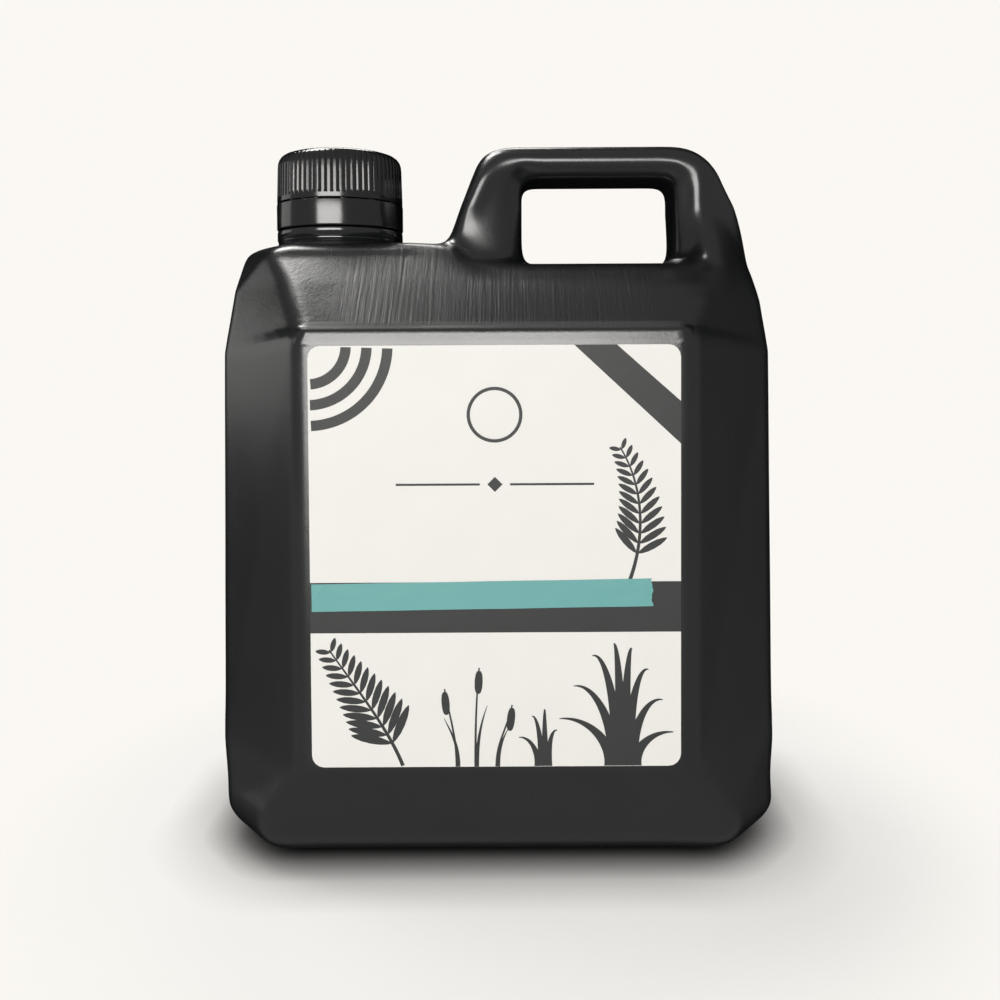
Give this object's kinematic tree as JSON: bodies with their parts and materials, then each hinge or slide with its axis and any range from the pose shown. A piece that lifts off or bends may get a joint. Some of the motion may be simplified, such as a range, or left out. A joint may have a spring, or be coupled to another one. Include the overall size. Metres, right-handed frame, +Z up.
{
  "type": "hand soap refill pack",
  "caption": "Jerrycan-shaped plastic soap refill bottle with an integral carrying handle, ribbed screw cap, tamper-evident band and front label.",
  "frame": {"origin": "centre of the base, on the surface it stands on", "axes": "+Z up, +X along the width towards the handle's end, front label faces -Y"},
  "size_m": [0.1312, 0.0755, 0.1615],
  "materials": {
    "bottle_plastic": "satin black blow-moulded polyethylene",
    "cap_plastic": "semi-gloss black moulded polypropylene",
    "liner_foam": "white closed-cell foam wad",
    "label_film": "off-white printed film, satin",
    "strip_film": "teal film sticker, satin",
    "soap": "clear amber liquid"
  },
  "bodies": {
    "jerrycan": {"bottle": "bottle_plastic", "liquid_soap": "soap", "tamper_band": "cap_plastic", "front_label": "label_film", "scent_strip": "strip_film"},
    "wad": {"cap_liner": "liner_foam"},
    "cap": {"screw_cap": "cap_plastic"}
  },
  "joints": [
    {"name": "cap_lift", "type": "slide", "parent": "jerrycan", "child": "wad", "axis": [0, 0, 1], "range_m": [0, 0.02116]},
    {"name": "cap_turn", "type": "hinge", "parent": "wad", "child": "cap", "pos_m": [-0.0388, 0, 0.1546], "axis": [0, 0, 1], "range_deg": [0, 1800]}
  ],
  "couplings": [
    {"joint": "cap_lift", "follows": "cap_turn", "m_per_rad": 0.00067323}
  ]
}
